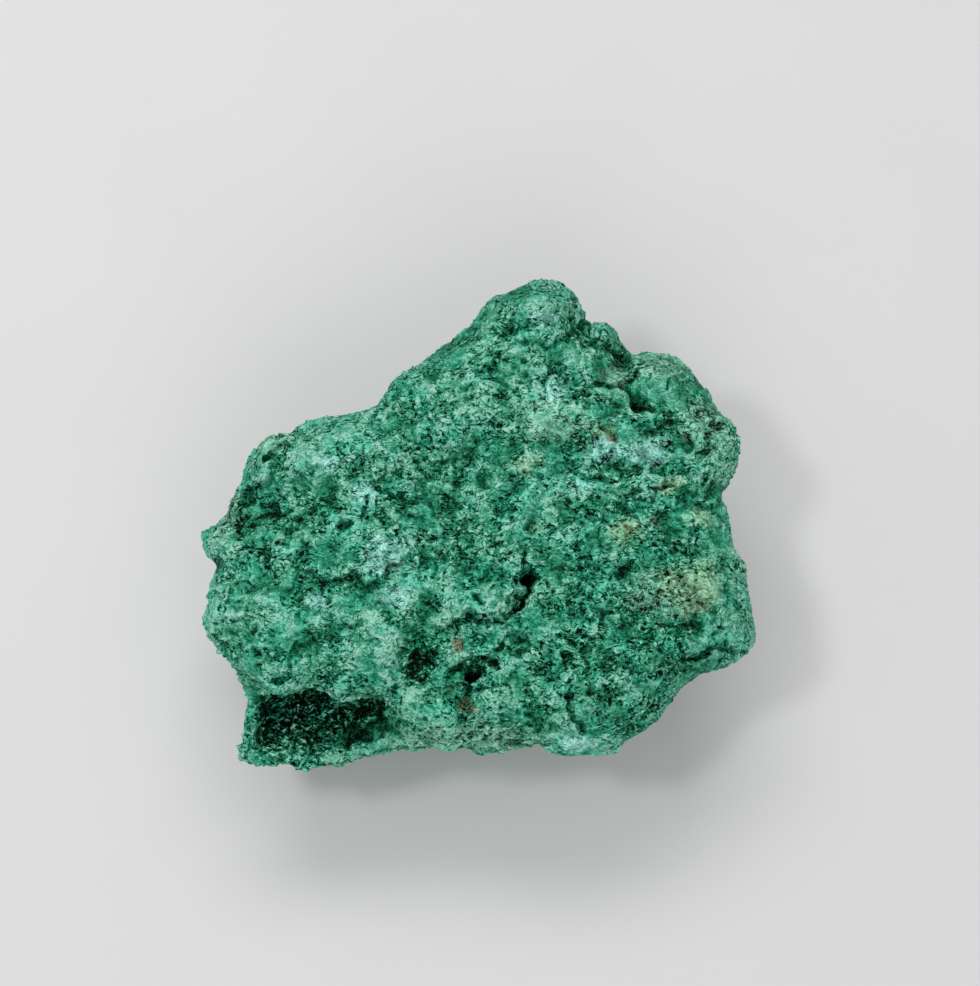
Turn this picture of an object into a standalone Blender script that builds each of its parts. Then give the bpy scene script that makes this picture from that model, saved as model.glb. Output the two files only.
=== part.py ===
"""Malachite specimen: one hand-sized lump broken from a massive, crusted seam.

The lump lies on its flattest side. Its broken crust faces up, its walls draw in below the rim, and a terrace
sticks out at the front left, below an overhanging edge of the crust. It is one solid piece.

Frame: metres, +Z up, +X to the right, +Y to the back. The origin is on the resting face, under the lump's
middle.
"""

import math

import bmesh
import bpy
from mathutils import Matrix, Vector, noise

MM = 0.001

# Driving dimensions, in millimetres.
RIM_HEIGHT = 21.0  # the widest section above the resting face
RIM_WAVE = 2.6  # how much that height wanders on its way round
RIM_TILT = 0.08  # how much higher the crust lies for each millimetre towards the back
RIM_LEAN = 0.27  # how far the rim comes forward for each millimetre that it rises
TERRACE_HEIGHT = 17.0  # the outer edge of the terrace
TERRACE_WAVE = 1.8  # how much that edge rises and falls
TERRACE_DIP = 2.0  # how far the terrace sinks inside it
TERRACE_DRAFT = 0.2  # how much of its reach the wall below it has lost at the resting face
CROWN = 4.6  # how far the crust stands above its rim
CORNER_DROP = 5.0  # how far it has broken down at the front right corner
SHOULDER = 3.2  # how far in from the rim the crust takes to round up
RING_POINTS = 320
WALL_RINGS = 30
CRUST_RINGS = 56
GRAIN = 0.45  # the evenly sized facets that the lump has before it is thinned out
TRIANGLES = 6600

# The widest outline seen from above, while its rim is level, clockwise from the nose at the left.
OUTLINE = [
    (-35.0, -1.3), (-33.2, 0.1), (-32.0, 1.4), (-31.0, 4.0), (-30.0, 5.8), (-29.4, 8.4), (-28.2, 10.2),
    (-26.5, 11.4), (-25.3, 11.1), (-23.2, 12.2), (-20.4, 13.8), (-15.0, 15.0), (-12.6, 16.2), (-11.4, 18.0),
    (-9.3, 20.4), (-6.6, 22.2), (-4.3, 24.0), (-3.3, 24.4), (-2.1, 26.0), (-1.1, 26.5), (0.1, 28.2),
    (2.1, 30.3), (5.6, 31.3), (8.0, 32.4), (10.0, 32.2), (12.7, 30.5), (13.3, 28.6), (14.6, 26.7),
    (16.4, 27.0), (17.6, 25.7), (18.7, 23.6), (20.2, 22.7), (21.5, 22.9), (25.4, 22.2), (27.2, 20.4),
    (28.6, 18.2), (30.6, 14.7), (32.1, 13.8), (33.2, 11.1), (33.0, 8.8), (32.2, 6.2), (30.8, 4.4),
    (31.2, 2.4), (32.2, -2.8), (33.3, -4.6), (33.7, -8.6), (34.6, -13.0), (34.6, -15.4), (31.4, -18.0),
    (28.4, -18.6), (25.8, -19.8), (23.8, -21.8), (22.5, -24.3), (18.2, -27.8), (17.2, -29.4), (13.6, -29.9),
    (10.2, -29.6), (7.4, -28.0), (5.6, -28.6), (0.6, -28.8), (-1.4, -28.4), (-3.8, -29.0), (-5.8, -28.2),
    (-9.8, -28.7), (-14.5, -29.6), (-17.0, -31.0), (-19.1, -30.8), (-22.0, -31.9), (-23.9, -31.2),
    (-27.3, -30.9), (-29.9, -30.1), (-29.3, -26.4), (-28.9, -23.2), (-29.9, -20.2), (-30.3, -18.8),
    (-32.0, -16.4), (-33.5, -14.4), (-34.4, -12.0), (-33.7, -10.2), (-34.0, -9.0), (-32.9, -5.4),
    (-34.5, -3.8),
]
MIDDLE = Vector((0.0, -2.0))

# The broken planes that the walls follow below the rim: the way each faces (degrees from +X towards +Y), how
# far out it meets the resting plane, and how far it leans outwards (degrees from upright).
BREAKS = [
    (5, 20.5, 34), (38, 21.0, 27), (72, 19.0, 38), (108, 17.5, 24), (138, 16.5, 36), (168, 22.0, 27),
    (198, 24.0, 32), (262, 21.5, 21), (292, 20.0, 26), (328, 22.5, 31),
]

# Mounds and hollows of the crust: middle x, y, reach along x, reach along y, height.
MOUNDS = [
    (7.0, 26.5, 5.5, 5.0, 3.0),  # knuckle at the back
    (15.6, 24.6, 1.8, 1.8, 1.6),  # small knob beside it
    (-1.0, 15.0, 12.0, 7.0, 1.6),  # broad back slope
    (25.0, 17.0, 5.5, 5.0, 1.4),  # back right shoulder
    (31.0, 10.5, 2.4, 3.0, 0.8),
    (-22.0, 8.0, 7.0, 3.2, 1.8),  # ridge at the left
    (-28.3, 8.5, 1.6, 3.0, -1.0),
    (-27.0, 1.0, 4.6, 3.0, -2.4),  # hollow behind the nose
    (-33.5, -2.0, 2.2, 2.2, 1.2),  # nose
    (-27.0, -10.0, 6.0, 5.0, 1.0),
    (-14.0, -1.5, 4.0, 4.0, 1.0),
    (-5.0, 2.0, 6.0, 5.0, -1.8),  # shallow hollow in the middle
    (-11.0, -12.0, 7.0, 5.0, 1.4),
    (-14.0, -18.0, 4.0, 3.0, 1.0),
    (-7.5, -17.5, 2.8, 3.6, -2.2),  # dark hollow beside the vug
    (0.5, -10.0, 4.0, 2.4, 1.2),  # loose flake
    (17.0, 6.0, 8.0, 4.0, 0.6),
    (18.0, 5.8, 7.0, 0.9, -0.9),
    (20.0, -6.0, 8.0, 6.0, -0.5),
    (27.0, -8.0, 5.0, 4.5, 1.2),
    (14.0, -16.0, 8.0, 6.0, 1.0),
    (13.0, -24.2, 1.6, 2.6, 1.0),  # pebble set in the crust
    (3.2, -27.0, 2.6, 1.8, -3.0),  # notch in the front edge
    (-1.5, -23.0, 3.0, 2.4, -1.8),
]

# Grooves of the crust: the line that each follows, half its width and its depth.
GROOVES = [
    (((12.4, 30.0), (12.8, 26.6), (13.4, 24.0)), 0.8, 2.4),  # beside the knuckle
    (((3.0, 23.0), (8.0, 23.8), (12.0, 25.4)), 0.9, 1.0),
    (((13.6, 23.4), (15.6, 22.4), (17.6, 21.6)), 0.7, 1.6),
    (((19.6, 22.4), (18.4, 18.6), (20.2, 14.4)), 0.8, 1.8),
    (((28.6, 10.4), (30.6, 12.0)), 0.6, 1.4),
    (((31.0, 4.0), (28.0, 2.6), (24.0, 3.0)), 0.8, 1.2),
    (((-29.8, 5.0), (-26.4, 7.6), (-25.0, 11.0)), 0.7, 1.2),
]

# The crust's overhanging front edge: left of and below this line the stone drops to the terrace.
LEDGE = [
    (-32.0, -19.6), (-28.0, -20.0), (-25.6, -22.4), (-23.4, -22.2), (-21.2, -20.8), (-19.6, -21.2),
    (-18.4, -22.8), (-16.2, -23.0), (-13.8, -21.8), (-11.6, -22.6), (-10.2, -25.0), (-8.4, -28.0),
    (-7.0, -34.0),
]
LEDGE_DROP = 1.4  # how far across the drop reaches under the overhang
LEDGE_EASE = 0.4  # how much wider it gets for each millimetre that the line runs on past y = -22

# Open hollows cut into the crust: middle, half sizes, turn about Z in degrees, tilt about X in degrees.
HOLLOWS = {
    "vug": ((-0.6, -19.0, 23.6), (1.9, 1.0, 3.6), 4.0, -30.0),
    "cleft": ((5.4, -8.4, 25.4), (2.5, 0.55, 3.6), 62.0, 0.0),
    "undercut_left": ((-22.6, -22.6, 17.0), (5.4, 3.0, 2.9), 12.0, -10.0),
    "undercut_right": ((-15.2, -23.4, 17.2), (3.8, 2.4, 2.6), -10.0, -8.0),
}


def smooth_step(t):
    t = min(1.0, max(0.0, t))
    return t * t * (3 - 2 * t)


def roughness(point, size, seed):
    """Uneven broken surface, from about -1 to 1, whose lumps are about this size."""
    return noise.fractal(Vector((point[0] / size, point[1] / size, point[2] / size + seed)), 0.7, 2.0, 4)


def spaced_outline(corners, count):
    """The outline as count evenly spaced points on a spline through its corners."""
    spline = []
    steps = 12
    for i in range(len(corners)):
        a, b, c, d = (Vector(corners[(i + k) % len(corners)]) for k in (-1, 0, 1, 2))
        for step in range(steps):
            t = step / steps
            bend = (2 * a - 5 * b + 4 * c - d) * t**2 + (3 * b - a - 3 * c + d) * t**3
            spline.append(0.5 * (2 * b + (c - a) * t + bend))
    lengths = [0.0]
    for i in range(len(spline)):
        lengths.append(lengths[-1] + (spline[(i + 1) % len(spline)] - spline[i]).length)
    points = []
    i = 0
    for n in range(count):
        along = lengths[-1] * n / count
        while lengths[i + 1] < along:
            i += 1
        share = (along - lengths[i]) / (lengths[i + 1] - lengths[i])
        points.append(spline[i].lerp(spline[(i + 1) % len(spline)], share))
    return points


def from_line(point, line):
    """Distance of a point from a line of straight runs, and on which side it is: positive to the right."""
    nearest, side = math.inf, 1.0
    for a, b in zip(line, line[1:]):
        a, b = Vector(a), Vector(b)
        run = b - a
        share = min(1.0, max(0.0, (point - a).dot(run) / run.length_squared))
        away = point - (a + run * share)
        if away.length < nearest:
            nearest = away.length
            side = 1.0 if run.x * away.y - run.y * away.x < 0 else -1.0
    return nearest, side


def below_ledge(point):
    """0 on the crust and 1 on the terrace, with a drop between them that is steep under the overhang."""
    if point.y > -16 or point.x > -3:
        return 0.0
    distance, side = from_line(point, LEDGE)
    drop = LEDGE_DROP + LEDGE_EASE * max(0.0, -22 - point.y)
    return smooth_step(0.5 + side * distance / drop)


def crust_level(point):
    """Height of the plane that the crust lies along, which climbs towards the back."""
    return RIM_HEIGHT + RIM_TILT * (point.y - MIDDLE.y)


def crust_edge_height(point):
    """Height of the crust's edge, which wanders on its way round."""
    return crust_level(point) + RIM_WAVE * roughness((point.x, point.y, 0), 26.0, 5.0)


def terrace_edge_height(point):
    return TERRACE_HEIGHT + TERRACE_WAVE * roughness((point.x, point.y, 0), 7.0, 2.0)


def rim_height(point):
    """Height of the widest section: the crust's edge, and the terrace's where that sticks out further."""
    edge = crust_edge_height(point)
    return edge + (terrace_edge_height(point) - edge) * below_ledge(point)


def broken_corner(point):
    """0 to 1 across the slanted line at the front right, past which the crust has broken away."""
    past_line = -15.2 - point.y - 0.42 * (34 - point.x)
    return smooth_step(past_line / 5.0) * smooth_step((point.x - 20) / 4)


def crust_height(point, from_rim):
    """Height of the upper side at a point this far in from the rim."""
    from_edge = from_rim
    if point.y < -14 and point.x < -6:
        from_edge = min(from_rim, 0.6 + from_line(point, LEDGE)[0])
    rounded = 1 - math.exp(-from_edge / SHOULDER)
    edge = crust_edge_height(point)
    crust = edge + (crust_level(point) - edge) * smooth_step(from_rim / 14.0) + CROWN * rounded
    for x, y, reach_x, reach_y, height in MOUNDS:
        away = ((point.x - x) / reach_x) ** 2 + ((point.y - y) / reach_y) ** 2
        crust += height * math.exp(-away) * rounded
    for line, half_width, depth in GROOVES:
        distance, _ = from_line(point, line)
        crust -= depth * math.exp(-((distance / half_width) ** 2))
    crust -= CORNER_DROP * broken_corner(point)
    terrace = terrace_edge_height(point) - TERRACE_DIP * smooth_step((from_rim - 1.0) / 3.0)
    terrace += 1.2 * roughness((point.x, point.y, 0), 3.0, 4.0)
    return crust + (terrace - crust) * below_ledge(point)


def wall_reach(arm, outline_reach, height, rim, on_terrace):
    """How far out the wall stands in this direction at this height."""
    lift = height / rim
    reach = outline_reach * (1 - 0.10 * (1 - lift) ** 2)
    turn = math.atan2(arm.y, arm.x)
    for facing, foot_distance, lean in BREAKS:
        across = math.cos(turn - math.radians(facing))
        if across > 0.25:
            plane = (foot_distance + height * math.tan(math.radians(lean))) / across
            reach = min(reach, plane)
    terrace_reach = outline_reach * (1 - TERRACE_DRAFT * (1 - lift))
    reach += (terrace_reach - reach) * on_terrace
    rough = roughness((arm.x * 30, arm.y * 30, height), 9.0, 3.0)
    fine = roughness((arm.x * 30, arm.y * 30, height), 3.5, 8.0)
    reach -= 0.6 + 1.5 * rough + 0.5 * fine
    return reach + (outline_reach - reach) * smooth_step((lift - 0.7) / 0.3)


def build_rings(mesh):
    """One ring of vertices for each section: up the walls, over the rim, and inwards across the crust."""
    arms = []
    for point in spaced_outline(OUTLINE, RING_POINTS):
        rim = rim_height(point)
        on_terrace = below_ledge(point)
        point.y -= RIM_LEAN * (rim - RIM_HEIGHT)
        arms.append((point - MIDDLE, rim, on_terrace))
    rings = []
    for n in range(WALL_RINGS + 1):
        lift = -0.08 + 1.08 * n / WALL_RINGS
        ring = []
        for arm, rim, on_terrace in arms:
            way = arm.normalized()
            flat = MIDDLE + way * wall_reach(way, arm.length, rim * lift, rim, on_terrace)
            ring.append(mesh.verts.new((flat.x, flat.y, rim * lift)))
        rings.append(ring)
    for n in range(1, CRUST_RINGS):
        share = (1 - n / CRUST_RINGS) ** 0.82
        ring = []
        for arm, rim, _ in arms:
            flat = MIDDLE + arm * share
            from_rim = arm.length * (1 - share)
            height = crust_height(flat, from_rim)
            height = rim + (height - rim) * smooth_step(from_rim / 0.9)
            height += smooth_step(from_rim / 4.0) * 0.9 * roughness((flat.x, flat.y, 0), 5.0, 11.0)
            ring.append(mesh.verts.new((flat.x, flat.y, height)))
        rings.append(ring)
    return rings


def add_object(name, mesh):
    data = bpy.data.meshes.new(name)
    mesh.to_mesh(data)
    mesh.free()
    thing = bpy.data.objects.new(name, data)
    bpy.context.collection.objects.link(thing)
    return thing


def build_lump():
    mesh = bmesh.new()
    rings = build_rings(mesh)
    for low, high in zip(rings, rings[1:]):
        for i in range(RING_POINTS):
            j = (i + 1) % RING_POINTS
            mesh.faces.new((low[j], low[i], high[i], high[j]))
    mesh.faces.new(rings[0])
    peak = mesh.verts.new((MIDDLE.x, MIDDLE.y, crust_height(MIDDLE, 30.0)))
    for i in range(RING_POINTS):
        mesh.faces.new((rings[-1][(i + 1) % RING_POINTS], rings[-1][i], peak))
    bmesh.ops.recalc_face_normals(mesh, faces=mesh.faces)
    bmesh.ops.scale(mesh, vec=(MM, MM, MM), verts=mesh.verts)
    return add_object("malachite_specimen", mesh)


def hollow_cutter(name, middle, half_sizes, turn, tilt):
    """A roughened ellipsoid that cuts one open hollow. It isn't part of the object."""
    mesh = bmesh.new()
    bmesh.ops.create_icosphere(mesh, subdivisions=3, radius=1.0)
    for vert in mesh.verts:
        vert.co *= 1 + 0.22 * roughness(vert.co * 1.6 + Vector(middle), 1.0, 0.0)
    place = Matrix.Translation(Vector(middle) * MM)
    place @= Matrix.Rotation(math.radians(turn), 4, "Z") @ Matrix.Rotation(math.radians(tilt), 4, "X")
    place @= Matrix.Diagonal((*(size * MM for size in half_sizes), 1.0))
    mesh.transform(place)
    return add_object(f"{name}_cutter", mesh)


def cut_away(lump, name, cutter):
    cutter.hide_render = True
    cutter.display_type = "WIRE"
    cut = lump.modifiers.new(name, "BOOLEAN")
    cut.operation = "DIFFERENCE"
    cut.object = cutter


def cut_hollows(lump):
    for name, (middle, half_sizes, turn, tilt) in HOLLOWS.items():
        cut_away(lump, name, hollow_cutter(name, middle, half_sizes, turn, tilt))
    even_out = lump.modifiers.new("even_out", "REMESH")
    even_out.mode = "VOXEL"
    even_out.voxel_size = GRAIN * MM


def thin_out(lump):
    """Fewer, larger facets where the stone is even, keeping the small ones at its edges."""
    bpy.context.view_layer.update()
    evaluated = lump.evaluated_get(bpy.context.evaluated_depsgraph_get())
    evaluated.data.calc_loop_triangles()
    facets = lump.modifiers.new("facets", "DECIMATE")
    facets.ratio = TRIANGLES / len(evaluated.data.loop_triangles)


def cut_resting_face(lump):
    """Everything below z = 0 is cut away, which leaves the flat face that the lump rests on."""
    mesh = bmesh.new()
    bmesh.ops.create_cube(mesh, size=1.0)
    mesh.transform(Matrix.Translation((0, 0, -10 * MM)) @ Matrix.Diagonal((100 * MM, 100 * MM, 20 * MM, 1.0)))
    cut_away(lump, "resting_face", add_object("ground_cutter", mesh))


def malachite():
    stone = bpy.data.materials.new("malachite")
    stone.use_nodes = True
    surface = stone.node_tree.nodes["Principled BSDF"]
    surface.inputs["Base Color"].default_value = (0.055, 0.30, 0.17, 1.0)
    surface.inputs["Roughness"].default_value = 0.78
    surface.inputs["Metallic"].default_value = 0.0
    return stone


def main():
    for old in list(bpy.data.objects):
        bpy.data.objects.remove(old)
    lump = build_lump()
    cut_hollows(lump)
    thin_out(lump)
    cut_resting_face(lump)
    lump.data.materials.append(malachite())
    lump.data.shade_smooth()
    lump.data.set_sharp_from_angle(angle=math.radians(40))


main()
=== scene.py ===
import math

import bpy
import numpy as np
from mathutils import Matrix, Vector


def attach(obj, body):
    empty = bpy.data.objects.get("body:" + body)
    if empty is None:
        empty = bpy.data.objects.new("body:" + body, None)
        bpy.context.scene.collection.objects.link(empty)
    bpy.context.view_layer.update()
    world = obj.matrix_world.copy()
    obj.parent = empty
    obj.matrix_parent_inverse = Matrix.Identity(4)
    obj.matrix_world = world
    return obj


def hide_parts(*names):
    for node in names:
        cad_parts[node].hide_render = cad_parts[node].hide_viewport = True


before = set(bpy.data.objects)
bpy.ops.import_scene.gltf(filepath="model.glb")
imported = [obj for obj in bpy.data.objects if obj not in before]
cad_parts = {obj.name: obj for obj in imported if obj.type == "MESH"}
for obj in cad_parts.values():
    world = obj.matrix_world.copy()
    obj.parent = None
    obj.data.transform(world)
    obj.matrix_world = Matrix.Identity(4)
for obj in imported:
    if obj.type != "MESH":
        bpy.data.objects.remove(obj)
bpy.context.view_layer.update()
MM = 0.001

# Camera
# It looks down on the broken face from in front, 75 degrees above level, through a long lens. Its distance
# and the width that it sees are in millimetres.

VIEW_ELEVATION = math.radians(75)
VIEW_DISTANCE = 300
VIEW_WIDTH = 124.8
SENSOR_WIDTH = 36

view_back = Vector((0, -math.cos(VIEW_ELEVATION), math.sin(VIEW_ELEVATION)))
view_target = Vector((1.46, 4.0, 21.0)) * MM
bpy.ops.object.camera_add(location=view_target + view_back * (VIEW_DISTANCE * MM))
camera = bpy.context.object
camera.name = "camera"
camera.rotation_euler = (-view_back).to_track_quat("-Z", "Y").to_euler()
camera.data.sensor_width = SENSOR_WIDTH
camera.data.lens = SENSOR_WIDTH * VIEW_DISTANCE / VIEW_WIDTH
camera.data.clip_start = 0.01
camera.data.clip_end = 10
bpy.context.scene.camera = camera


# Studio light
# A long strip lamp overhead, a little behind the stone, throws its front shadow. A small lamp at the left
# throws the side one. A wide faint lamp in front and the pale room fill the rest.


def area_light(name, towards, distance, width, depth, power, colour):
    """A flat lamp in that direction from the stone, facing it, its width level."""
    towards = Vector(towards).normalized()
    bpy.ops.object.light_add(type="AREA", location=towards * distance)
    lamp = bpy.context.object
    lamp.name = name
    lamp.rotation_euler = towards.to_track_quat("Z", "Y").to_euler()
    lamp.data.shape = "RECTANGLE"
    lamp.data.size = width
    lamp.data.size_y = depth
    lamp.data.energy = power
    lamp.data.color = colour


area_light("strip_lamp", (-0.13, 0.85, 1.0), 0.9, 0.78, 0.28, 3.3, (1.0, 0.99, 0.98))
area_light("side_lamp", (-0.48, 0.0, 1.0), 0.5, 0.075, 0.075, 0.42, (0.99, 0.985, 1.0))
area_light("front_fill", (0.1, -0.8, 0.7), 0.8, 0.7, 0.5, 1.35, (1.0, 0.985, 0.98))
room = bpy.data.worlds.new("room")
bpy.context.scene.world = room
room.use_nodes = True
room_fill = room.node_tree.nodes["Background"]
room_fill.inputs["Color"].default_value = (0.985, 0.975, 0.99, 1)
room_fill.inputs["Strength"].default_value = 0.44
bpy.context.scene.view_settings.view_transform = "Standard"


# Floor
# A plain sheet of pale matt card, a hair below the stone's resting face, with the faint mottle of its
# fibres. Its width is in metres.

FLOOR_SIZE = 3
FLOOR_DROP = 0.02 * MM

bpy.ops.mesh.primitive_plane_add(size=FLOOR_SIZE, location=(0, 0, -FLOOR_DROP))
floor = bpy.context.object
floor.name = "floor"
card = bpy.data.materials.new("pale_card")
card.use_nodes = True
nodes, links = card.node_tree.nodes, card.node_tree.links
where = nodes.new("ShaderNodeTexCoord")
fibres = nodes.new("ShaderNodeTexNoise")
fibres.inputs["Scale"].default_value = 40
fibres.inputs["Detail"].default_value = 4
shade = nodes.new("ShaderNodeMix")
shade.data_type = "RGBA"
shade.inputs["A"].default_value = (0.735, 0.738, 0.737, 1)
shade.inputs["B"].default_value = (0.765, 0.768, 0.767, 1)
links.new(where.outputs["Object"], fibres.inputs["Vector"])
links.new(fibres.outputs["Fac"], shade.inputs["Factor"])
links.new(shade.outputs["Result"], nodes["Principled BSDF"].inputs["Base Color"])
nodes["Principled BSDF"].inputs["Roughness"].default_value = 0.9
floor.data.materials.append(card)


# Stone: the lump
# A lump of massive malachite, broken out of a seam. It starts from its plain solid, is evened out into small
# facets of one size, and loses the solid's hard edges. Its resting face stays flat.


def apply_all(thing):
    """Every modifier applied, in order."""
    bpy.context.view_layer.objects.active = thing
    for modifier in list(thing.modifiers):
        bpy.ops.object.modifier_apply(modifier=modifier.name)


def remesh(thing, grain):
    """Evened out into facets of this size in millimetres."""
    even = thing.modifiers.new("even_out", "REMESH")
    even.mode = "VOXEL"
    even.voxel_size = grain * MM
    even.use_smooth_shade = True
    apply_all(thing)


def corners(thing):
    """The mesh's vertices, in millimetres."""
    points = np.empty(len(thing.data.vertices) * 3)
    thing.data.vertices.foreach_get("co", points)
    return points.reshape(-1, 3) / MM


def normals(thing):
    directions = np.empty(len(thing.data.vertices) * 3)
    thing.data.vertices.foreach_get("normal", directions)
    return directions.reshape(-1, 3)


def move_corners(thing, points):
    """The vertices put at these places, none of them below the floor."""
    points = points.copy()
    points[:, 2] = np.maximum(points[:, 2], 0)
    thing.data.vertices.foreach_set("co", (points * MM).astype(np.float32).ravel())
    thing.data.update()


bpy.ops.object.select_all(action="DESELECT")
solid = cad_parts["malachite_specimen"]
stone = solid.copy()
stone.data = solid.data.copy()
stone.parent = None
stone.name = "malachite_stone"
bpy.context.scene.collection.objects.link(stone)
stone.select_set(True)
bpy.context.view_layer.objects.active = stone
bpy.ops.object.mode_set(mode="EDIT")
bpy.ops.mesh.select_all(action="SELECT")
bpy.ops.mesh.remove_doubles(threshold=1e-6)
bpy.ops.object.mode_set(mode="OBJECT")
remesh(stone, 0.45)
soften = stone.modifiers.new("soften", "SMOOTH")
soften.factor = 0.5
soften.iterations = 3
apply_all(stone)


# Stone: landforms
# Ledges, creases, pits and low swellings of the broken face, where seams of softer mineral have crumbled
# away. They are laid out in a plane tipped to face the camera, in millimetres: u to the right, v to the back.

FACE_LEVEL = 20
OCTAVE_FADE = 0.55
OCTAVE_SHIFT = 7.31
MOTTLE_GAIN = 1.6
STEP_REACH = 3.2
UNDERCUT = 0.35
UNDERCUT_REACH = 1.2
PIT_STRENGTH = 1.3


def laid_out(points):
    """Where each corner lies in that plane, as the camera sees it."""
    from_middle = points - np.array((0, 0, FACE_LEVEL))
    depth = from_middle @ np.array(view_back)
    across = from_middle @ np.array((0, math.sin(VIEW_ELEVATION), math.cos(VIEW_ELEVATION)))
    grow = VIEW_DISTANCE / (VIEW_DISTANCE - depth)
    return from_middle[:, 0] * grow, across * grow / math.sin(VIEW_ELEVATION)


def lattice(cells, seed):
    """A repeatable random number from 0 to 1 for each whole-numbered cell."""
    x, y, z = (cells[..., k].astype(np.int64) for k in range(3))
    mixed = (x * 73856093) ^ (y * 19349663) ^ (z * 83492791) ^ (seed * 2654435761)
    mixed = (mixed ^ (mixed >> 13)) * 1274126177 & 0xFFFFFFFF
    mixed = (mixed ^ (mixed >> 16)) * 2246822519 & 0xFFFFFFFF
    return ((mixed ^ (mixed >> 15)) & 0xFFFFFF) / 0xFFFFFF


def mottle(points, size, seed, octaves=1):
    """Smooth random lumps of about this size in millimetres, from about -1 to 1. Each octave is half the size
    of the one before, and weaker."""
    total = np.zeros(len(points))
    weight = 1.0
    reach = 0.0
    for octave in range(octaves):
        grid = points / size * 2**octave + seed * OCTAVE_SHIFT
        cell = np.floor(grid)
        inward = grid - cell
        inward = inward * inward * (3 - 2 * inward)
        value = np.zeros(len(points))
        for corner in range(8):
            step = np.array((corner & 1, corner >> 1 & 1, corner >> 2 & 1))
            share = np.prod(np.where(step, inward, 1 - inward), axis=1)
            value += share * lattice(cell + step, seed + octave)
        total += weight * (2 * value - 1)
        reach += weight
        weight *= OCTAVE_FADE
    return total / reach * MOTTLE_GAIN


def chips(points, size, seed):
    """Random angular chips of about this size: how far inside its border each corner lies, in millimetres,
    the chip's number, and the height of its flat top there, tilted its own way."""
    grid = points / size
    home = np.floor(grid)
    first = np.full(len(points), 9.0)
    second = np.full(len(points), 9.0)
    number = np.zeros(len(points))
    top = np.zeros(len(points))
    for x in (-1, 0, 1):
        for y in (-1, 0, 1):
            for z in (-1, 0, 1):
                cell = home + np.array((x, y, z))
                spread = np.stack([lattice(cell, seed + k) for k in range(3)], axis=1)
                arm = grid - cell - spread
                away = np.linalg.norm(arm, axis=1)
                closer = away < first
                second = np.where(closer, first, np.minimum(second, away))
                first = np.where(closer, away, first)
                number = np.where(closer, lattice(cell, seed + 9), number)
                lean = 2 * spread[:, (1, 2, 0)] - 1
                top = np.where(closer, (arm * lean).sum(1), top)
    return (second - first) * size, number, top * size


def spot(u, v, place):
    """1 in the middle of an oval spot, falling to 0 around it."""
    mid_u, mid_v, reach_u, reach_v = place
    return np.exp(-(((u - mid_u) / reach_u) ** 2 + ((v - mid_v) / reach_v) ** 2))


def from_line(u, v, line):
    """Distance from a line of straight runs, and the side of it: positive to the right of its direction."""
    nearest = np.full(len(u), 1e9)
    side = np.ones(len(u))
    for (u0, v0), (u1, v1) in zip(line, line[1:]):
        run_u, run_v = u1 - u0, v1 - v0
        share = np.clip(((u - u0) * run_u + (v - v0) * run_v) / (run_u**2 + run_v**2), 0, 1)
        away_u, away_v = u - u0 - run_u * share, v - v0 - run_v * share
        away = np.hypot(away_u, away_v)
        closer = away < nearest
        side = np.where(closer, np.where(run_v * away_u - run_u * away_v > 0, 1.0, -1.0), side)
        nearest = np.where(closer, away, nearest)
    return nearest, side


def smooth_step(share):
    share = np.clip(share, 0, 1)
    return share * share * (3 - 2 * share)


# Creases and cracks: the line, half its width, its depth
CREASES = [
    (((3.6, 24.6), (8, 23.9), (11, 24.2), (12.9, 26), (12.8, 29)), 0.4, 0.5),
    (((13.3, 29.4), (13.3, 26.5), (13.5, 24.6)), 0.5, 1.6),
    (((13.5, 23.5), (16, 22), (17.6, 21.6)), 0.3, 0.7),
    (((14.5, 18), (17, 17.8), (18.4, 18.8)), 0.3, 0.8),
    (((19.4, 22.4), (19.3, 20), (18.5, 18.5), (19.5, 16.5), (20.3, 15.5), (21.6, 15.4)), 0.34, 1.0),
    (((9.3, 21), (8.9, 19.8), (8.3, 18.2)), 0.24, 0.7),
    (((10.1, 21), (9.8, 19.4), (10.3, 18.3)), 0.24, 0.7),
    (((28.8, 10.7), (30.6, 12.1)), 0.45, 1.3),
    (((-13.8, 3.5), (-13.9, 1.4), (-13.7, 0.5), (-12, 1)), 0.28, 0.9),
    (((-9.2, 4.2), (-10.6, 2.9)), 0.38, 1.1),
    (((-16.2, -13.2), (-15.6, -12.6), (-14, -12)), 0.3, 0.8),
    (((-19.6, -8), (-19.8, -10.6)), 0.26, 0.7),
    (((-20.9, -8.2), (-21.0, -10.2)), 0.22, 0.5),
    (((7.4, -6.2), (6.2, -7.1), (5.4, -8.6), (4.2, -10.1)), 0.8, 2.6),
    (((4.2, -10.3), (3, -12), (0.5, -12.6), (-2.4, -12.4)), 0.3, 1.0),
    (((13.2, 6.9), (14.8, 6.3), (17, 6)), 0.32, 1.0),
    (((19.2, 5.4), (20.8, 5.3)), 0.3, 1.0),
    (((22.0, 5.3), (24.2, 5.0)), 0.36, 1.4),
    (((34.5, -15.6), (30, -16.6), (27.5, -17.4), (25, -17.6)), 0.4, 1.1),
    (((12.4, -22.6), (11.8, -24), (12.5, -26.0), (14.4, -26.5)), 0.42, 1.6),
    (((-4.2, -18.6), (-2, -18.1), (0, -17.9), (1.6, -18.5)), 0.35, 1.2),
    (((-31, 0.4), (-28, 0.9), (-24.5, 2.1)), 0.32, 0.8),
    (((-30, 2.6), (-27.5, 2.9), (-25.2, 3.2)), 0.3, 0.7),
    (((30.9, 3.4), (28.6, 2.2), (25.6, 1.4)), 0.4, 0.5),
]

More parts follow.
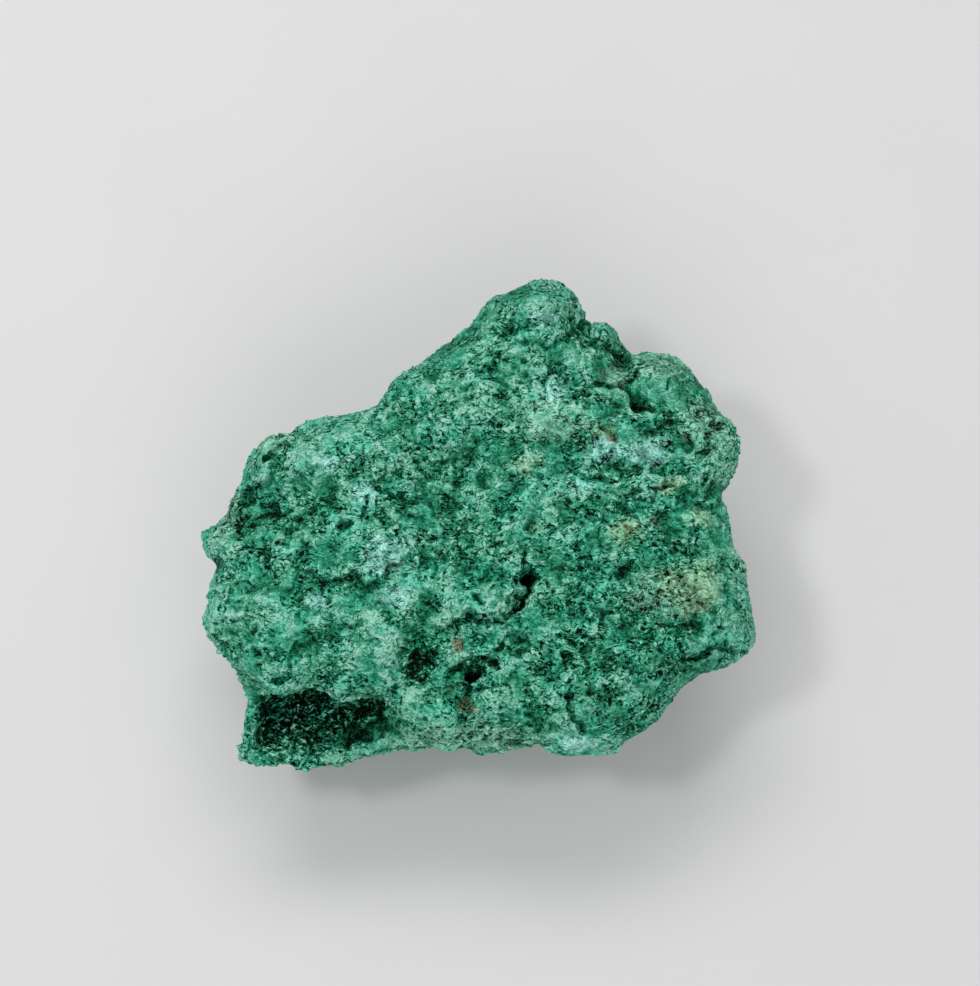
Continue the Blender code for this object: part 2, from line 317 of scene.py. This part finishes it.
# Steps: the line, and how far the stone on its right side stands above the other
STEPS = [
    (((-10.2, -5.3), (-12, -6.6), (-17, -6.7), (-20.2, -7.0)), 0.8),
    (((4.6, -6.8), (4.0, -10.4), (2.6, -12.1), (0.4, -12.7), (-2.6, -12.4)), 1.2),
    (((-24.2, 10.4), (-26.5, 8.0), (-29.2, 5.2)), 1.0),
    (((31, 4.6), (28, 3.3), (25, 2.4)), 0.4),
]

# Pits: middle, reach along u and v, depth
PITS = [
    (5.0, 21.0, 0.5, 0.45, 1.0), (5.3, 19.0, 0.45, 0.5, 1.1), (12.4, 16.0, 0.45, 0.35, 0.9),
    (14.0, 16.4, 0.35, 0.45, 0.9), (20.0, 16.1, 0.6, 0.45, 1.1), (2.3, 13.3, 0.5, 0.4, 0.8),
    (7.2, 7.8, 0.8, 0.3, 1.0), (-0.2, 6.6, 1.3, 0.9, 0.8), (1.0, 5.4, 0.5, 0.4, 0.8),
    (3.0, 2.5, 0.4, 0.4, 0.8), (6.5, 0.3, 0.65, 0.6, 1.3), (-4.3, -3.6, 0.5, 0.5, 1.1),
    (-17.0, -0.8, 0.6, 0.75, 1.5), (-24.0, -0.2, 0.75, 0.45, 1.0), (-22.0, 2.0, 0.8, 0.35, 0.9),
    (-19.2, 2.6, 0.7, 0.35, 0.9), (-23.6, 1.0, 0.6, 0.5, 1.0), (-24.8, -19.3, 0.9, 0.7, 1.4),
    (-10.0, 6.4, 0.6, 0.45, 1.2), (0.0, -10.2, 0.5, 0.5, 1.1), (2.0, -9.4, 0.4, 0.4, 1.0),
    (18.0, -6.0, 1.1, 0.9, 1.1), (11.0, -17.0, 1.0, 0.8, 1.2), (5.0, -16.0, 0.8, 0.7, 1.1),
    (15.2, -12.5, 0.6, 0.5, 0.9), (28.5, -14.0, 0.8, 0.6, 0.9), (12.2, -10.3, 0.5, 0.4, 0.9),
    (15.0, -21.2, 0.8, 0.35, 1.2), (2.0, -16.9, 0.5, 0.5, 0.9), (8.2, -27.3, 0.5, 0.5, 1.0),
    (-1.8, -21.4, 0.5, 0.4, 1.2), (17.4, 11.4, 0.4, 0.35, 0.6), (-28.9, 3.6, 1.3, 1.0, 0.9),
    (27.4, -17.6, 0.9, 0.35, 1.3), (20.6, 9.0, 0.5, 0.35, 0.6), (-27.6, -16.0, 0.4, 0.35, 0.7),
    (-7.2, -17.6, 2.2, 2.6, 0.5), (3.0, -27.6, 1.4, 1.2, 1.4), (-2.4, -20.6, 1.6, 1.0, 0.9),
]

# Low swellings between them: middle, reach along u and v, height
SWELLINGS = [
    (8.4, 27.8, 4.2, 3.0, 0.4), (-20.5, 8.0, 7.5, 2.2, 0.6), (-11.8, -15.0, 4.6, 4.6, 0.4),
    (-14.0, 4.6, 2.2, 2.0, 0.4), (-12.0, -3.6, 3.2, 2.4, 0.5), (1.2, -9.6, 3.0, 2.2, 0.6),
    (13.2, -24.2, 0.9, 1.4, 0.8), (17.2, -20.4, 1.6, 1.6, 0.5), (12.0, -28.6, 2.6, 1.0, 0.5),
    (25.4, 18.0, 4.6, 4.0, 0.3), (19.0, 9.6, 5.4, 2.0, 0.3), (-26.0, -12.0, 6.0, 2.4, 0.3),
    (-29.0, -17.4, 1.8, 1.6, 0.3), (26.6, -8.4, 4.6, 3.6, 0.4), (5.0, 8.4, 4.0, 1.4, 0.3),
]

# Every line and oval is bent a little, so that none is drawn smoothly.
points = corners(stone)
u, v = laid_out(points)
bent_u = u + 0.7 * mottle(points, 1.6, 31, 2) + 1.0 * mottle(points, 5.0, 33)
bent_v = v + 0.7 * mottle(points, 1.6, 47, 2) + 1.0 * mottle(points, 5.0, 49)
facing_up = smooth_step((normals(stone)[:, 2] + 0.1) / 0.5)
rise = np.zeros(len(points))
for line, drop in STEPS:
    away, side = from_line(bent_u, bent_v, line)
    above = np.exp(-((away / STEP_REACH) ** 2))
    below = -UNDERCUT * np.exp(-((away / UNDERCUT_REACH) ** 2))
    rise += drop * np.where(side > 0, above, below)
for *place, height in SWELLINGS:
    rise += height * spot(bent_u, bent_v, place)
for line, half_width, depth in CREASES:
    away, _ = from_line(bent_u, bent_v, line)
    rise -= depth * np.clip(1.5 - away / half_width, 0, 1)
for *place, depth in PITS:
    rise -= PIT_STRENGTH * depth * spot(bent_u, bent_v, place)
points[:, 2] += rise * facing_up
away_from_base = smooth_step((points[:, 2] - 0.3) / 1.5)
points += normals(stone) * (0.28 * mottle(points, 6.0, 5, 3) * away_from_base)[:, None]
move_corners(stone, points)
remesh(stone, 0.2)


# Stone: chips and flakes
# The broken mineral is a mass of angular chips of half a millimetre to five, each tilted its own way, with
# thin wandering cracks between them and small holes where some fell out. A few patches are worn smooth, and a
# druse of small dark crystals lines the cavern below the crust and one hollow.

LARGE_CHIP = 4.6
MIDDLE_CHIP = 1.25
SMALL_CHIP = 0.66
CAVERN_RIGHT = -9
CAVERN_BACK = -17
CAVERN_FRONT = -30

# The lined hollow: middle, reach along u and v
LINED_HOLLOW = (-7.2, -17.8, 2.4, 3.0)

# The edge of the crust, with the cavern on its right-hand side
CRUST_EDGE = [
    (-28.2, -31), (-28.8, -25.5), (-28.4, -22.4), (-26.4, -20.8), (-24.6, -22.6), (-22.5, -21.6),
    (-21, -20.8), (-19.8, -21.4), (-18.8, -22.4), (-17.5, -23), (-16, -22.6), (-13, -21.2), (-11.4, -22.6),
    (-12.6, -25), (-16, -27.8), (-19, -30),
]

# Worn patches: middle, reach along u and v
WORN = [
    (-12.0, -15.0, 4.4, 5.6), (-7.5, -9.6, 2.6, 2.0), (-29.0, -17.5, 2.0, 1.8), (24.6, 18.8, 4.4, 3.6),
    (12.4, -28.6, 2.8, 1.2), (-27.0, -9.0, 4.0, 3.0), (-4.0, 22.6, 5.0, 2.0), (30.0, -1.0, 2.6, 3.0),
]


def lined(u, v):
    """How far druse covers each place, from 0 to 1."""
    away, side = from_line(u, v, CRUST_EDGE)
    cavern = smooth_step(side * away / 1.8)
    cavern = cavern * smooth_step((CAVERN_RIGHT - u) / 2) * smooth_step((CAVERN_BACK - v) / 2)
    cavern *= 0.45 + 0.55 * smooth_step((v - CAVERN_FRONT) / 6)
    return np.maximum(cavern, 0.5 * smooth_step(1.4 * spot(u, v, LINED_HOLLOW)))


points = corners(stone)
outwards = normals(stone)
u, v = laid_out(points)
away_from_base = smooth_step((points[:, 2] - 0.2) / 1.0)
worn = np.max([spot(u, v, place) for place in WORN], axis=0) * smooth_step(outwards[:, 2] * 2)
druse = lined(u, v) * smooth_step((outwards[:, 2] - 0.1) / 0.5)
lively = (0.55 + 0.45 * mottle(points, 6.0, 12, 2)).clip(0.25, 1.2) * (1 - 0.75 * worn)
lively *= 1 + 0.9 * smooth_step((0.6 - outwards[:, 2]) / 0.5)
bent = points + np.stack([0.18 * mottle(points, 0.9, seed, 2) for seed in (61, 62, 63)], axis=1)

# Large chips, with a gap round half of them
inside, number, top = chips(bent, LARGE_CHIP, 21)
relief = lively * (0.10 * top + 0.08 * (number - 0.5))
relief -= lively * 0.16 * (1 - smooth_step(inside / 0.2)) * (number > 0.5)

# Middling chips, a tenth of them fallen out
inside, number, top = chips(bent * np.array((1, 1.25, 1.1)), MIDDLE_CHIP, 51)
relief += lively * (0.13 * top + 0.08 * (number - 0.5))
relief -= lively * 0.30 * smooth_step((number - 0.9) / 0.04) * smooth_step(inside / 0.5)
relief += druse * (0.35 * top + 0.3 * number - 0.35)

# Small chips everywhere, taller in the druse
_, number, top = chips(bent, SMALL_CHIP, 83)
relief += (0.35 + 0.65 * lively) * (0.40 * top + 0.13 * (number - 0.5))
relief += druse * (0.45 * top + 0.35 * number - 0.3)

# Wandering cracks, where the stone is most broken
wander = np.abs(mottle(bent * np.array((0.8, 1.2, 1.0)), 2.2, 90, 2))
broken = smooth_step((mottle(points, 3.4, 95, 2) - 0.05) / 0.4)
relief -= 0.36 * broken * (1 - smooth_step(wander / 0.09))
points += outwards * (relief * away_from_base)[:, None]
move_corners(stone, points)


# Stone: thinning out
# Where the relief is nearly flat, small facets are joined into larger ones. The top is thinned out first. The
# corners picked there stay picked, so the second pass thins out the whole stone, to about 77,000 triangles.

FIRST_PASS_AIM = 132000
SECOND_PASS_AIM = 64000
TOP_ABOVE = 7


def thin_out(thing, picked, aim):
    """Thinned out at the picked faces, in the proportion of this many triangles to those they make."""
    thing.data.polygons.foreach_set("select", picked)
    bpy.ops.object.mode_set(mode="EDIT")
    bpy.ops.mesh.decimate(ratio=aim / (2 * picked.sum()))
    bpy.ops.object.mode_set(mode="OBJECT")


def on_top_side(thing):
    """Which faces look upwards and lie above the foot of the stone."""
    count = len(thing.data.polygons)
    middle = np.empty(count * 3)
    facing = np.empty(count * 3)
    thing.data.polygons.foreach_get("center", middle)
    thing.data.polygons.foreach_get("normal", facing)
    height = middle.reshape(-1, 3)[:, 2] / MM
    return (facing.reshape(-1, 3)[:, 2] > 0.15) & (height > TOP_ABOVE)


bpy.ops.object.mode_set(mode="EDIT")
bpy.ops.mesh.select_mode(type="FACE")
bpy.ops.mesh.select_all(action="DESELECT")
bpy.ops.object.mode_set(mode="OBJECT")
thin_out(stone, on_top_side(stone), FIRST_PASS_AIM)
thin_out(stone, ~on_top_side(stone), SECOND_PASS_AIM)
stone.data.validate()
bpy.ops.object.shade_smooth_by_angle(angle=math.radians(24))


# Stone: where the mineral varies, and where light and shade are painted
# Crests are painted paler as painted highlight, and hollows darker as painted shade over their dark green.
# Patches of chrysocolla are turquoise-white, some of the crust is chalky, and iron stains a few crumbs yellow
# and brown.

CREST_HEIGHT = 0.05
HOLLOW_DEPTH = 0.35

# Patches of each kind: middle, reach along u and v
PATCHES = {
    "turquoise": [
        (-14.5, 4.5, 2.2, 1.8), (-12.0, -3.8, 3.0, 2.4), (16.0, 10.2, 3.2, 2.2), (21.4, 9.6, 2.8, 2.2),
        (-20.6, -10.0, 1.4, 1.2), (12.2, 5.4, 1.8, 0.8), (-11.0, -9.0, 2.2, 1.4), (12.6, -28.6, 2.6, 1.0),
        (-18.5, 8.4, 2.6, 1.4), (8.4, 27.6, 1.8, 1.2), (9.6, 17.4, 1.2, 2.4),
    ],
    "pale": [
        (-12.0, -14.5, 4.4, 5.0), (-7.6, -9.4, 2.6, 2.2), (-21.0, 8.6, 6.0, 2.4), (-26.0, -12.6, 6.0, 1.8),
        (5.6, 8.2, 4.0, 1.6), (0.0, 14.0, 9.0, 5.0), (8.2, 27.4, 3.6, 3.0), (-33.4, -2.6, 1.6, 1.8),
        (-26.0, 6.6, 7.0, 3.0), (-9.0, 6.5, 8.0, 3.0), (18.4, 6.6, 4.0, 2.6), (-7.5, -1.0, 5.0, 4.4),
        (2.0, -9.6, 3.0, 2.2), (-24.0, -20.6, 5.0, 1.2), (-16.0, -21.6, 4.0, 1.2), (-9.0, -21.8, 3.4, 3.0),
        (11.0, 14.0, 4.0, 3.0), (18.0, -0.9, 4.0, 3.0), (-3.0, -14.6, 4.0, 3.0), (-10.0, -15.5, 4.0, 4.0),
        (-32.0, -11.0, 3.0, 4.4), (3.0, 20.0, 6.0, 4.0), (-17.0, 11.0, 9.0, 3.6), (11.0, 6.0, 4.0, 3.0),
        (-7.0, -8.0, 8.0, 3.0), (4.0, -0.5, 4.0, 3.4), (31.0, -8.0, 2.4, 3.0), (8.0, 15.0, 5.0, 4.0),
        (-1.0, -27.8, 7.0, 2.4), (11.0, -27.8, 6.0, 2.6),
    ],
    # Darker green, and painted shade along the front rim's wall and below the undercut at the lower right
    "deep_green_and_shade": [
        (21.0, -16.0, 5.0, 3.0), (-30.0, 1.0, 4.0, 3.0), (-28.2, 8.6, 1.2, 2.4), (24.6, 18.6, 5.0, 4.4),
        (26.0, -9.0, 4.0, 4.0), (4.0, -7.0, 3.0, 2.0), (19.0, -26.0, 5.0, 3.0), (34.0, -2.0, 1.6, 4.0),
        (-7.0, -18.0, 2.8, 3.0), (-15.0, -7.4, 4.0, 0.9), (-19.5, -25.6, 9.0, 3.4), (28.0, -17.8, 5.0, 1.6),
        (-5.6, 23.0, 5.0, 1.6), (4.6, 30.4, 3.4, 1.2), (-1.0, -19.4, 2.6, 1.8), (-29.4, -17.4, 1.8, 1.8),
        (-3.0, -28.0, 7.0, 2.4),
    ],
    "chalk": [
        (17.0, 19.4, 2.4, 1.8), (29.0, 13.0, 4.0, 4.0), (-32.0, 2.0, 2.0, 5.0), (9.0, 14.0, 6.0, 3.0),
        (24.0, -9.0, 6.0, 4.0), (-26.0, 11.0, 3.0, 2.0), (24.0, 22.0, 5.0, 3.0), (34.0, -2.0, 2.4, 5.0),
        (-2.0, -28.0, 12.0, 2.4),
    ],
    "yellow": [
        (6.0, 8.0, 3.4, 1.0), (19.2, -0.8, 3.0, 2.2), (27.0, -8.0, 4.6, 4.0), (28.2, 1.2, 2.2, 1.4),
        (7.0, -0.6, 1.0, 0.8), (24.0, 5.0, 2.2, 1.2), (15.4, 13.0, 1.8, 1.2),
    ],
    "brown": [
        (17.1, 11.7, 0.9, 0.7), (15.0, 13.0, 0.6, 0.5), (23.0, 0.9, 0.8, 0.6), (-3.0, -15.7, 0.8, 1.3),
        (-1.5, -23.5, 1.6, 1.2), (-0.4, -24.8, 0.8, 0.7), (-21.0, -3.9, 0.6, 0.5), (7.2, -0.3, 0.5, 0.4),
        (19.6, -0.4, 0.9, 0.6), (5.6, 18.4, 0.4, 0.5), (-3.4, -21.6, 0.8, 0.9), (-5.2, 1.4, 0.4, 0.4),
    ],
}


def smoothed(values, edges, rounds):
    """Values evened out between neighbouring corners."""
    count = np.bincount(edges.ravel(), minlength=len(values)).astype(float)
    for _ in range(rounds):
        spread = np.stack(
            [
                np.bincount(edges[:, 0], values[edges[:, 1], k], len(values))
                + np.bincount(edges[:, 1], values[edges[:, 0], k], len(values))
                for k in range(values.shape[1])
            ],
            axis=1,
        )
        values = 0.5 * values + 0.5 * spread / np.maximum(count, 1)[:, None]
    return values


def store(name, values):
    """A value for each corner, kept in the mesh for the material."""
    layer = stone.data.attributes.new(name, "FLOAT", "POINT")
    layer.data.foreach_set("value", values.astype(np.float32))


points = corners(stone)
outwards = normals(stone)
edges = np.empty(len(stone.data.edges) * 2, dtype=np.int32)
stone.data.edges.foreach_get("vertices", edges)
edges = edges.reshape(-1, 2)

# How far each place stands out from, or lies below, the evened-out stone around it: the material paints
# crests lighter from these, as painted highlight, and hollows darker, as painted shade
near = smoothed(points, edges, 6)
far = smoothed(near, edges, 60)
normal_far = smoothed(outwards, edges, 12)
normal_far /= np.linalg.norm(normal_far, axis=1)[:, None]
crest = ((points - near) * normal_far).sum(1) / CREST_HEIGHT
hollow = ((far - near) * normal_far).sum(1) / HOLLOW_DEPTH
store("crest", np.clip(crest, -3, 3))
store("hollow", np.clip(hollow, -0.8, 3))

u, v = laid_out(points)
bent_u = u + 0.8 * mottle(points, 2.2, 131, 3)
bent_v = v + 0.8 * mottle(points, 2.2, 147, 3)
facing_up = smooth_step((normal_far[:, 2] + 0.2) / 0.4)
for name, places in PATCHES.items():
    amount = np.zeros(len(points))
    for place in places:
        amount = np.maximum(amount, spot(bent_u, bent_v, place))
    store(name, amount * facing_up)
store("druse", lined(bent_u, bent_v))
store("worn", np.max([spot(bent_u, bent_v, place) for place in WORN], axis=0) * facing_up)


# Stone: its surface laid flat
# The surface is laid out flat in four parts on a square sheet, in millimetres: the face as seen from above,
# the resting face beside it, and the walls unrolled around the stone into two strips below them.

SHEET = 128
FACE_SCALE = 1.12
WALL_RADIUS = 38
WALL_SCALE = 0.88
MIDDLE = (0.6, -2.5)
FACE_AT = (41, 90)
BASE_AT = (104, 90)
LEFT_STRIP_AT = (4, 29)
RIGHT_STRIP_AT = (4, 1)
BEARINGS = 180
INNER_SHARE = 0.66

corner = np.empty(len(stone.data.loops), dtype=np.int32)
stone.data.loops.foreach_get("vertex_index", corner)
sides = np.empty(len(stone.data.polygons), dtype=np.int32)
stone.data.polygons.foreach_get("loop_total", sides)
face = np.repeat(np.arange(len(sides)), sides)


def over_face(values):
    """The mean of the values at a face's corners, for each corner."""
    return (np.bincount(face, values) / sides)[face]


x, y, z = (far[corner] - (*MIDDLE, 0)).T
turn = np.arctan2(y, x)
turn_of_face = np.arctan2(over_face(y), over_face(x))
turn = turn_of_face + (turn - turn_of_face + math.pi) % (2 * math.pi) - math.pi
bearing = ((turn_of_face + math.pi) / math.radians(360 / BEARINGS)).astype(int) % BEARINGS
reach = np.zeros(BEARINGS)
np.maximum.at(reach, bearing, np.hypot(over_face(x), over_face(y)))
facing = over_face(normal_far[corner, 2])
inside = np.hypot(over_face(x), over_face(y)) < INNER_SHARE * reach[bearing]
on_top = (facing > 0.35) | (inside & (over_face(z) > 10))
on_base = (facing < -0.75) & (over_face(z) < 2)
left_strip = turn_of_face < 0

across = np.select(
    [on_top, on_base, left_strip],
    [x * FACE_SCALE + FACE_AT[0], x + BASE_AT[0], (turn + math.pi) * WALL_RADIUS + LEFT_STRIP_AT[0]],
    turn * WALL_RADIUS + RIGHT_STRIP_AT[0],
)
along = np.select(
    [on_top, on_base, left_strip],
    [y * FACE_SCALE + FACE_AT[1], y + BASE_AT[1], z * WALL_SCALE + LEFT_STRIP_AT[1]],
    z * WALL_SCALE + RIGHT_STRIP_AT[1],
)
flat = stone.data.uv_layers.new(name="OFBake")
flat.uv.foreach_set("vector", np.stack([across, along], axis=1).astype(np.float32).ravel() / SHEET)


# Stone: malachite
# Massive malachite: fine fibrous green carbonate, dull where it is broken, with grains of every green from
# near black to mint. The pattern goes right through, so it follows places in the stone.

DRIFT = 1.1 * MM
BUMP_DEPTH = 0.3 * MM

malachite = bpy.data.materials.new("malachite")
malachite.use_nodes = True
nodes, links = malachite.node_tree.nodes, malachite.node_tree.links
surface = nodes["Principled BSDF"]
where = nodes.new("ShaderNodeTexCoord")


def give(socket, given):
    """A socket's own value, or a link to it."""
    if isinstance(given, tuple):
        socket.default_value = (*given, 1)
    elif isinstance(given, (int, float)):
        socket.default_value = given
    else:
        links.new(given, socket)


def maths(operation, *given):
    """One sum, of values or sockets."""
    node = nodes.new("ShaderNodeMath")
    node.operation = operation
    for socket, value in zip(node.inputs, given):
        give(socket, value)
    return node.outputs["Value"]


def band(value, low, high):
    """0 below low, 1 above high, and smooth between them."""
    node = nodes.new("ShaderNodeMapRange")
    node.interpolation_type = "SMOOTHSTEP"
    for name, given in (("Value", value), ("From Min", low), ("From Max", high)):
        give(node.inputs[name], given)
    return node.outputs["Result"]


def mix_colour(amount, first, second, blend="MIX"):
    node = nodes.new("ShaderNodeMix")
    node.data_type = "RGBA"
    node.blend_type = blend
    give(node.inputs["Factor"], amount)
    give(node.inputs["A"], first)
    give(node.inputs["B"], second)
    return node.outputs["Result"]


def layer(name):
    """A value stored in the mesh."""
    node = nodes.new("ShaderNodeAttribute")
    node.attribute_name = name
    return node.outputs["Fac"]


def vector_maths(operation, first, second):
    node = nodes.new("ShaderNodeVectorMath")
    node.operation = operation
    for socket, given in zip(node.inputs, (first, second)):
        if isinstance(given, tuple):
            socket.default_value = given
        else:
            links.new(given, socket)
    return node.outputs["Vector"]


def noise(place, size, detail, seed, twist=0.0, out="Fac"):
    """Cloudy pattern whose clouds are about this size in millimetres."""
    node = nodes.new("ShaderNodeTexNoise")
    node.inputs["Scale"].default_value = 1 / (size * MM)
    node.inputs["Detail"].default_value = detail
    node.inputs["Roughness"].default_value = 0.6
    node.inputs["Distortion"].default_value = twist
    moved = vector_maths("ADD", place, (seed * 0.013, seed * 0.007, seed * 0.003))
    links.new(moved, node.inputs["Vector"])
    return node.outputs[out]


def grains(place, size):
    """Angular grains of about this size in millimetres, each of its own value."""
    node = nodes.new("ShaderNodeTexVoronoi")
    node.inputs["Scale"].default_value = 1 / (size * MM)
    links.new(place, node.inputs["Vector"])
    return node.outputs["Color"]


def centred(value, strength, onto):
    """A value around 0.5, added to another at this strength."""
    return maths("MULTIPLY_ADD", maths("SUBTRACT", value, 0.5), strength, onto)


# The patterns: fibres and grains drift to and fro by up to half a millimetre, and marks are drawn out
# sideways.
place = where.outputs["Object"]
drift = vector_maths("SUBTRACT", noise(place, 1.3, 1, 5, out="Color"), (0.5, 0.5, 0.5))
warped = vector_maths("ADD", place, vector_maths("MULTIPLY", drift, (DRIFT, DRIFT, DRIFT)))
drawn_out = vector_maths("MULTIPLY", warped, (0.75, 1.2, 1.1))
fine = noise(warped, 0.24, 0, 3, twist=0.4)
worms = band(noise(drawn_out, 0.46, 0, 31, twist=0.9), 0.60, 0.63)
flakes = noise(drawn_out, 0.42, 0, 77, twist=0.8)
veins = maths("ABSOLUTE", maths("SUBTRACT", noise(drawn_out, 0.85, 0, 61, twist=0.7), 0.5))
veins = maths("MULTIPLY", band(veins, 0.06, 0.03), band(noise(place, 1.1, 1, 19), 0.50, 0.54))
marked = maths("SUBTRACT", band(noise(place, 3.6, 1, 67), 0.30, 0.58), maths("MULTIPLY", layer("worn"), 0.55))
marked = maths("MULTIPLY_ADD", band(marked, 0.0, 1.0), 0.75, 0.25)
middling = noise(warped, 1.6, 2, 11, twist=0.6)
broad = noise(place, 6.0, 2, 23)
small_grain = grains(warped, 0.5)
large_grain = grains(warped, 1.5)

# The tone of the green, from 0, nearly black, to 1, mint
# Painted highlight on crests and painted shade in hollows, darkest in the deepest hollows
tone = maths("MULTIPLY_ADD", layer("crest"), 0.08, 0.574)
tone = maths("MULTIPLY_ADD", layer("hollow"), -0.032, tone)
tone = maths("MULTIPLY_ADD", band(layer("hollow"), 1.2, 2.6), -0.16, tone)
tone = centred(fine, 0.46, tone)
tone = centred(small_grain, 0.20, tone)
tone = centred(large_grain, 0.09, tone)
tone = centred(middling, 0.22, tone)
tone = centred(broad, 0.24, tone)
tone = maths("MULTIPLY_ADD", layer("pale"), 0.13, tone)
# The deep patches darken the tone: dark green, and painted shade along the front rim's wall and under the
# undercut
tone = maths("MULTIPLY_ADD", layer("deep_green_and_shade"), -0.14, tone)
marks = maths("MULTIPLY_ADD", worms, -0.44, maths("MULTIPLY", veins, -0.34))
marks = maths("MULTIPLY_ADD", band(flakes, 0.60, 0.63), 0.26, marks)
tone = maths("MULTIPLY_ADD", marks, marked, tone)
sparkle = maths("MULTIPLY_ADD", band(flakes, 0.52, 0.55), 0.55, -0.38)
tone = maths("MULTIPLY_ADD", layer("druse"), sparkle, tone)
ramp = nodes.new("ShaderNodeValToRGB")
links.new(tone, ramp.inputs["Fac"])
stops = [
    (0.00, (0.0, 0.003, 0.001)),
    (0.14, (0.0, 0.013, 0.005)),
    (0.26, (0.0008, 0.050, 0.020)),
    (0.40, (0.006, 0.135, 0.068)),
    (0.53, (0.021, 0.240, 0.132)),
    (0.66, (0.055, 0.355, 0.215)),
    (0.80, (0.140, 0.500, 0.340)),
    (0.95, (0.340, 0.710, 0.560)),
]
while len(ramp.color_ramp.elements) < len(stops):
    ramp.color_ramp.elements.new(0.5)
for element, (at, colour) in zip(ramp.color_ramp.elements, stops):
    element.position = at
    element.color = (*colour, 1)
colour = ramp.outputs["Color"]
vivid = maths("MULTIPLY", band(noise(place, 3.2, 2, 57), 0.48, 0.60), 0.7)
colour = mix_colour(vivid, colour, (0.40, 0.97, 0.90), "MULTIPLY")

# The patches, with crumbled edges
crumble = centred(small_grain, 0.9, centred(middling, 2.2, centred(fine, 1.0, 0.0)))
for name, tint, strength in (
    ("chalk", (0.23, 0.44, 0.32), 0.40),
    ("turquoise", (0.25, 0.53, 0.48), 0.50),
    ("yellow", (0.24, 0.38, 0.19), 0.42),
    ("brown", (0.10, 0.08, 0.04), 0.80),
):
    patch = band(maths("MULTIPLY", layer(name), maths("ADD", crumble, 1.0)), 0.35, 0.70)
    shaded = mix_colour(1.0, tint, maths("MULTIPLY_ADD", tone, 2.4, -0.3), "MULTIPLY")
    colour = mix_colour(maths("MULTIPLY", patch, strength), colour, shaded)
links.new(colour, surface.inputs["Base Color"])

# Dull, with the finest relief as bumps
links.new(maths("MULTIPLY_ADD", fine, 0.3, 0.50), surface.inputs["Roughness"])
surface.inputs["Specular IOR Level"].default_value = 0.10
height = maths("MULTIPLY_ADD", fine, 0.3, maths("MULTIPLY", noise(place, 0.12, 1, 41), 0.1))
height = maths("MULTIPLY_ADD", small_grain, 0.25, height)
height = maths("MULTIPLY_ADD", worms, -0.5, height)
height = maths("MULTIPLY_ADD", veins, -0.4, height)
height = maths("MULTIPLY_ADD", flakes, 0.6, height)
bump = nodes.new("ShaderNodeBump")
bump.inputs["Strength"].default_value = 0.9
bump.inputs["Distance"].default_value = BUMP_DEPTH
links.new(height, bump.inputs["Height"])
links.new(bump.outputs["Normal"], surface.inputs["Normal"])

stone.data.materials.clear()
stone.data.materials.append(malachite)
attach(stone, "root")
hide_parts("malachite_specimen")
